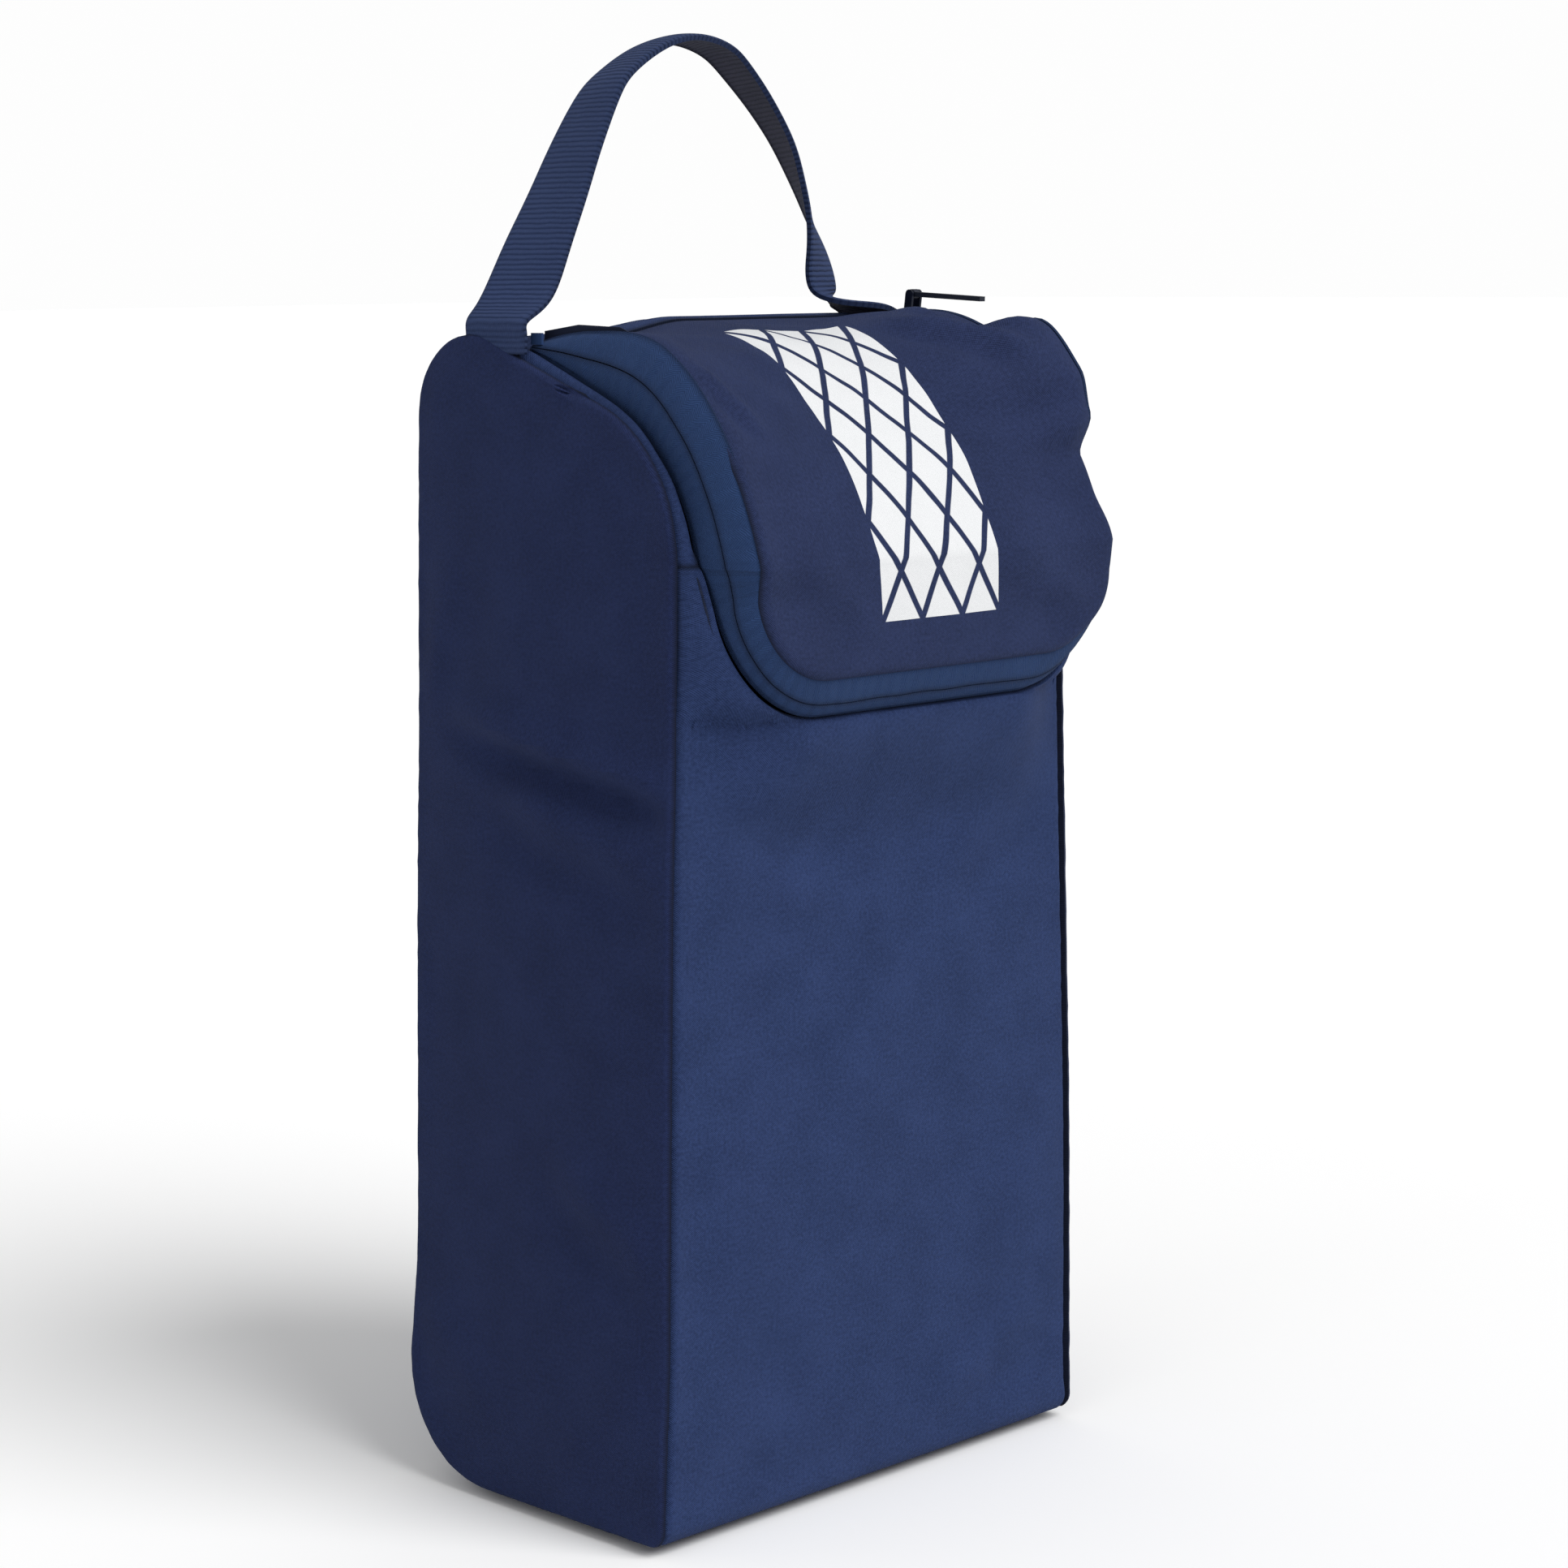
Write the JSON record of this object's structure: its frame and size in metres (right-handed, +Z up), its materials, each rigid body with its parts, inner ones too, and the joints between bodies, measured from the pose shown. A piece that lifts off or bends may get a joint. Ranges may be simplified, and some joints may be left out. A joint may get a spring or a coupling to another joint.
{
  "type": "golf shoe bag",
  "caption": "Upright soft shoe bag with a hooded, zipped lid that tips back and a webbing carry handle.",
  "frame": {"origin": "middle of the bag on the base panel's flat underside, where it stands", "axes": "+X across the bag towards the side where the zip closes, -Y out of the front, +Z up"},
  "size_m": [0.1928, 0.15, 0.466],
  "materials": {
    "shell_cloth": "matte woven polyester, navy",
    "side_cloth": "matte woven polyester, navy",
    "lid_cloth": "matte woven polyester with a pale print, navy",
    "lining": "plain polyester lining",
    "binding": "grosgrain binding",
    "zip_tape": "woven zip tape",
    "zip_coil": "nylon coil",
    "webbing": "ribbed polyester webbing",
    "slider_metal": "painted die-cast metal",
    "pull": "painted die-cast metal"
  },
  "bodies": {
    "bag": {"front_panel": "shell_cloth", "back_panel": "shell_cloth", "left_side_panel": "side_cloth", "right_side_panel": "side_cloth", "base_panel": "shell_cloth", "left_shoulder_gusset": "shell_cloth", "right_shoulder_gusset": "shell_cloth", "left_seam_binding": "binding", "right_seam_binding": "binding", "base_seam_binding": "binding", "zip_tape_bag": "zip_tape", "zip_coil_bag": "zip_coil", "left_zip_end_tab": "binding", "right_zip_end_tab": "binding", "left_handle_root": "webbing", "right_handle_root": "webbing"},
    "lid": {"lid_panel": "lid_cloth", "lid_lining": "lining", "lid_seam_binding": "binding", "zip_tape_lid": "zip_tape", "zip_coil_lid": "zip_coil"},
    "handle": {"handle_webbing": "webbing"},
    "slider": {"slider_body": "slider_metal"},
    "puller": {"pull_tab": "pull"}
  },
  "joints": [
    {"name": "lid_hinge", "type": "hinge", "parent": "bag", "child": "lid", "pos_m": [0, 0.0145, 0.376], "axis": [-1, 0, 0], "range_deg": [0, 115]},
    {"name": "handle_swing", "type": "hinge", "parent": "bag", "child": "handle", "pos_m": [0, 0.0374, 0.376], "axis": [-1, 0, 0], "range_deg": [0, 90]},
    {"name": "slider_slide", "type": "slide", "parent": "bag", "child": "slider", "axis": [0, -0.989, -0.1478], "range_m": [0, 0.02]},
    {"name": "pull_hinge", "type": "hinge", "parent": "slider", "child": "puller", "pos_m": [0.0831, 0.00156, 0.3824], "axis": [-1, 0, 0], "range_deg": [0, 95]}
  ],
  "couplings": [
    {"joint": "handle_swing", "follows": "lid_hinge", "ratio": 0.78}
  ]
}
